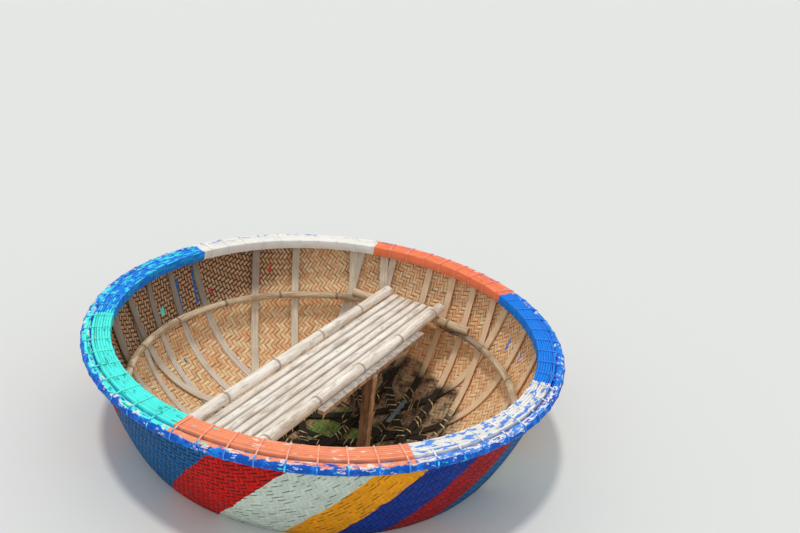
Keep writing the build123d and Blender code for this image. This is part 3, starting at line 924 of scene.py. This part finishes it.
def build_inside():
    for layer, (light, dark) in enumerate(RIB_TONES):
        material = rib_material(f"rib_bamboo_{layer + 1}", linear(light), linear(dark), RIB_ANGLES[layer])
        for node, own_layer in rib_nodes():
            if own_layer == layer:
                give(node, material, 0.0012)
    give("inner_hoop_left", bamboo_material("left_hoop_bamboo", *HOOP_TONES, nodes=HOOP_NODES))
    right_hoop = bamboo_material("right_hoop_bamboo", *HOOP_TONES, nodes=HOOP_NODES, greyed=HOOP_GREYED)
    give("inner_hoop_right", right_hoop)
    thwarts = bamboo_material("thwart_bamboo", *THWART_TONES, RAFT_ANGLE + 90, THWART_NODES, THWART_LENGTH)
    give("thwart_far", thwarts)
    give("thwart_near", thwarts)
    for side, nodes in (("left", LEFT_POLE_NODES), ("right", RIGHT_POLE_NODES)):
        pole = bamboo_material(f"{side}_pole_bamboo", *POLE_TONES, RAFT_ANGLE, nodes, RAFT_LENGTH)
        give(f"raft_pole_{side}", pole)
    slats = bamboo_material("slat_bamboo", *RAFT_TONES, RAFT_ANGLE, split=True)
    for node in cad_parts:
        if node.startswith("raft_slat"):
            give(node, slats, 0.0015)
    give("raft_plank", wood_material("weathered_plank", 0.9), 0.002)
    give("raft_post", wood_material("rough_sawn_timber", 0.3, POST_SHADED_FACE), 0.002)


# Small things at the bottom

def on_hull(x, y, growth):
    """Places on the hull's inside at plan positions, moved outwards by growth."""
    r, z = hull_profile(np.linspace(0, WALL_LENGTH, 3000), growth)
    return np.stack([x, y, np.interp(np.hypot(x, y), r, z)], axis=-1)


def rib_lines():
    """Of each rib: its layer, plan angle, offset to the left, half width, and reach along it."""
    lines = []
    for node, layer in rib_nodes():
        turn = radians(RIB_ANGLES[layer])
        co = np.array([v.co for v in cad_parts[node].data.vertices])
        across = co[:, 1] * cos(turn) - co[:, 0] * sin(turn)
        along = co[:, 0] * cos(turn) + co[:, 1] * sin(turn)
        middle = (across.min() + across.max()) / 2
        lines.append((layer, turn, middle, np.ptp(across) / 2, along.min(), along.max()))
    return lines


def passes_under(place, layer, half, lines):
    """Whether a rib of a higher layer lies over a tie at this place."""
    for above, turn, offset, width, first, last in lines:
        aside = abs(-place[0] * sin(turn) + place[1] * cos(turn) - offset)
        along = place[0] * cos(turn) + place[1] * sin(turn)
        if above > layer and aside < width + half + 0.004 and first - 0.03 < along < last + 0.03:
            return True
    return False


def tube(places, radii):
    """Places and quads of a closed round tube through places, with a radius at each."""
    ahead = np.gradient(places, axis=0)
    ahead /= np.linalg.norm(ahead, axis=1)[:, None]
    aside = np.cross(ahead, UP)
    aside /= np.linalg.norm(aside, axis=1)[:, None]
    above = np.cross(aside, ahead)
    a = np.linspace(0, 2 * pi, TUBE_SIDES, endpoint=False)
    ring = aside[:, None] * np.cos(a)[None, :, None] + above[:, None] * np.sin(a)[None, :, None]
    skin = places[:, None] + ring * radii[:, None, None]
    return skin.reshape(-1, 3), closed_tube(len(places), TUBE_SIDES)[:, ::-1]


def join_meshes(parts):
    """One list of places and one of quads from many."""
    shift, all_places, all_quads = 0, [], []
    for places, quads in parts:
        all_places.append(places)
        all_quads.append(quads + shift)
        shift += len(places)
    return np.concatenate(all_places), np.concatenate(all_quads)


def build_rib_ties():
    """Pale strips of split cane that bind the tarred ribs to the mat."""
    rng = np.random.default_rng(SEED + 50)
    lines = rib_lines()
    parts = []
    for layer, turn, offset, half, first, last in lines:
        ahead, left = np.array([cos(turn), sin(turn)]), np.array([-sin(turn), cos(turn)])
        rise = CLEARANCE + layer * RIB_PITCH + RIB_THICKNESS
        bends = [TIE_FOOT] + [(out, rise + top) for out, top in TIE_BENDS]
        bends = [(-half - out, top) for out, top in bends] + [(half + out, top) for out, top in bends[::-1]]
        for step in np.arange(first + 0.05, last - 0.05, TIE_PITCH):
            middle = offset * left + (step + 0.006 * rng.normal()) * ahead
            highest = TIES_BELOW + TIES_RISE * max(0.0, middle[0])
            if passes_under(middle, layer, half, lines) or on_hull(*middle, 0.0)[2] > highest:
                continue
            if rng.random() < TIE_MISSING:
                continue
            slant = ahead * TIE_SLANT * rng.uniform(0.6, 1.3)
            width = ahead * TIE_WIDTH / 2 * rng.uniform(0.8, 1.2)
            rows = []
            for side, top in bends:
                plan = middle + left * side + slant * side / half
                for edge, under in FLAT_SECTION:
                    rows.append(on_hull(*(plan + edge * width), under * TIE_THICKNESS - top))
            parts.append((np.array(rows), closed_tube(len(bends), 4)))
    s = Shader("cane_ties")
    tone = s.mix(s.ramp(s.noise(30, 4), 0.40, 0.60), TIE_LIGHT, TIE_DARK)
    mesh_piece("rib_ties", *join_meshes(parts), s.finish(tone, 0.6, [(s.noise(400), 0.0003)]), "lashing")


def build_bottom_sticks():
    """Dark sticks wedged over the ribs at the bottom, where they cross."""
    parts = []
    t = np.linspace(0, 1, 9)
    for (x1, y1), (x2, y2), thick in STICKS:
        places = on_hull(x1 + (x2 - x1) * t, y1 + (y2 - y1) * t, -RIB_STACK - thick)
        start, end = places[0, 2], places[-1, 2]
        places[:, 2] = np.maximum(places[:, 2], start + (end - start) * t)
        parts.append(tube(places, thick * (1 - 0.35 * t + 0.12 * np.sin(9 * t + x1 * 40))))
    s = Shader("tarred_sticks")
    tone = s.mix(s.ramp(s.noise(26, 5), 0.40, 0.64), TAR, STICK_BARE)
    material = s.finish(tone, 0.7, [(s.noise(160), 0.0012)])
    mesh_piece("bottom_sticks", *join_meshes(parts), material, "rib_bamboo")


def build_blue_slat():
    """A loose slat of old painted bamboo, lying on the ribs."""
    start, end = np.array(BLUE_SLAT)
    ahead = end - start
    left = np.array([-ahead[1], ahead[0]]) / np.linalg.norm(ahead)
    rows, stations = [], np.linspace(0, 1, 12)
    for t in stations:
        for edge, above in FLAT_SECTION:
            x, y = start + ahead * t + left * edge * BLUE_SLAT_WIDTH / 2
            rows.append(on_hull(x, y, -RIB_STACK - BLUE_SLAT_LIFT - above * BLUE_SLAT_THICKNESS))
    s = Shader("old_blue_slat")
    fibres = s.noise(60, 5, 0.7)
    tone = s.mix(s.ramp(fibres, 0.40, 0.66), SLAT_BLUE, SLAT_GREY)
    mesh_piece("blue_slat", np.array(rows), closed_tube(len(stations), 4),
               s.finish(tone, 0.65, [(fibres, 0.0008)]), "rib_bamboo")


def build_hoop_fork():
    """The hoop's right pole ends in a split, its two prongs lying over the other pole."""
    parts = []
    t = np.linspace(0, 1, 14)
    for inward, lift, last in FORK_PRONGS:
        a = np.radians(FORK_START + (last - FORK_START) * t)
        bulge = np.minimum(t * 3.0, 1.0)
        r = HOOP_RADIUS - inward * bulge - 0.003 * np.sin(9 * t)
        z = HOOP_Z + lift * bulge + 0.002 * np.sin(7 * t + 1)
        places = np.stack([r * np.cos(a), r * np.sin(a), z], axis=-1)
        parts.append(tube(places, FORK_RADIUS * (1 - FORK_TAPER * t ** 1.5)))
    s = Shader("split_bamboo_end")
    fibres = s.stretched((s.x, s.y, s.z), (70, 70, 200), 5, 0.65)
    tone = s.mix(s.ramp(fibres, 0.35, 0.65), SPLICE_DARK, SPLICE_LIGHT)
    mesh_piece("hoop_fork", *join_meshes(parts), s.finish(tone, 0.75, [(fibres, 0.0012)]), "pole_bamboo")


# Stage, light and camera

def build_floor():
    """Pale floor at the waterline, open where the boat's inside goes below it."""
    s = Shader("studio_floor")
    tone = s.mix(s.noise(0.8), FLOOR, s.mix(0.06, FLOOR, FLOOR_DARK))
    material = s.finish(tone, 0.9, [(s.noise(40), 0.0002)])
    angles = np.linspace(0, 2 * pi, FLOOR_SEGMENTS, endpoint=False)
    radii = (waterline_radius(MAT_THICKNESS / 2), *FLOOR_RINGS)
    places = [(r * cos(a), r * sin(a), 0.0) for r in radii for a in angles]
    quads = grid_quads(len(radii), FLOOR_SEGMENTS, close_columns=True)[:, ::-1]
    floor = mesh_object("floor", places, quads, material)


def build_light():
    """A pale sky that lights the boat, a plain backdrop that is seen instead of it, and a wide sun."""
    scene = bpy.context.scene
    scene.view_settings.view_transform = "Standard"
    world = bpy.data.worlds.new("studio")
    world.use_nodes = True
    nodes, links = world.node_tree.nodes, world.node_tree.links
    sky, backdrop = nodes["Background"], nodes.new("ShaderNodeBackground")
    looks = ((sky, SKY_COLOUR, SKY_STRENGTH), (backdrop, BACKDROP, BACKDROP_STRENGTH))
    for node, colour, strength in looks:
        node.inputs["Color"].default_value = colour
        node.inputs["Strength"].default_value = strength
    rays, either = nodes.new("ShaderNodeLightPath"), nodes.new("ShaderNodeMixShader")
    seen = rays.outputs["Is Camera Ray"]
    for ray in ("Is Glossy Ray", "Is Transmission Ray"):
        both = nodes.new("ShaderNodeMath")
        both.operation = "MAXIMUM"
        links.new(seen, both.inputs[0])
        links.new(rays.outputs[ray], both.inputs[1])
        seen = both.outputs[0]
    for source, socket in zip((seen, sky.outputs[0], backdrop.outputs[0]), either.inputs):
        links.new(source, socket)
    links.new(either.outputs[0], nodes["World Output"].inputs["Surface"])
    scene.world = world
    light = bpy.data.lights.new("sun", "SUN")
    light.energy = SUN_ENERGY
    light.angle = radians(SUN_SPREAD)
    light.color = SUN_COLOUR
    sun = add_object("sun", light)
    sun.rotation_mode = "QUATERNION"
    sun.rotation_quaternion = Vector(SUN_FROM).to_track_quat("Z", "Y")


def build_camera():
    """Camera on a circle about the rim's centre, then turned aside, up and rolled."""
    rise = radians(CAMERA_HEIGHT_ANGLE)
    from_rim = Vector((0, -CAMERA_ORBIT * cos(rise), CAMERA_ORBIT * sin(rise)))
    ahead, right = -from_rim.normalized(), Vector((1, 0, 0))
    up = right.cross(ahead)
    turn = Matrix.Rotation(radians(CAMERA_TURN), 3, up)
    ahead, right = turn @ ahead, turn @ right
    lift = Matrix.Rotation(radians(CAMERA_LIFT), 3, right)
    ahead, up = lift @ ahead, lift @ up
    roll = Matrix.Rotation(radians(CAMERA_ROLL), 3, ahead)
    right, up = roll @ right, roll @ up
    data = bpy.data.cameras.new("camera")
    data.sensor_width = SENSOR_WIDTH
    data.lens = CAMERA_LENS
    data.shift_y = CAMERA_SHIFT
    data.clip_start, data.clip_end = CAMERA_CLIP
    camera = add_object("camera", data)
    place = Matrix((right, up, -ahead)).transposed().to_4x4()
    place.translation = from_rim + Vector((0, 0, RIM_UNDERSIDE))
    camera.matrix_world = place
    bpy.context.scene.camera = camera


build_mat()
build_rim()
build_inside()
build_rib_ties()
build_bottom_sticks()
build_blue_slat()
build_hoop_fork()
build_floor()
build_light()
build_camera()
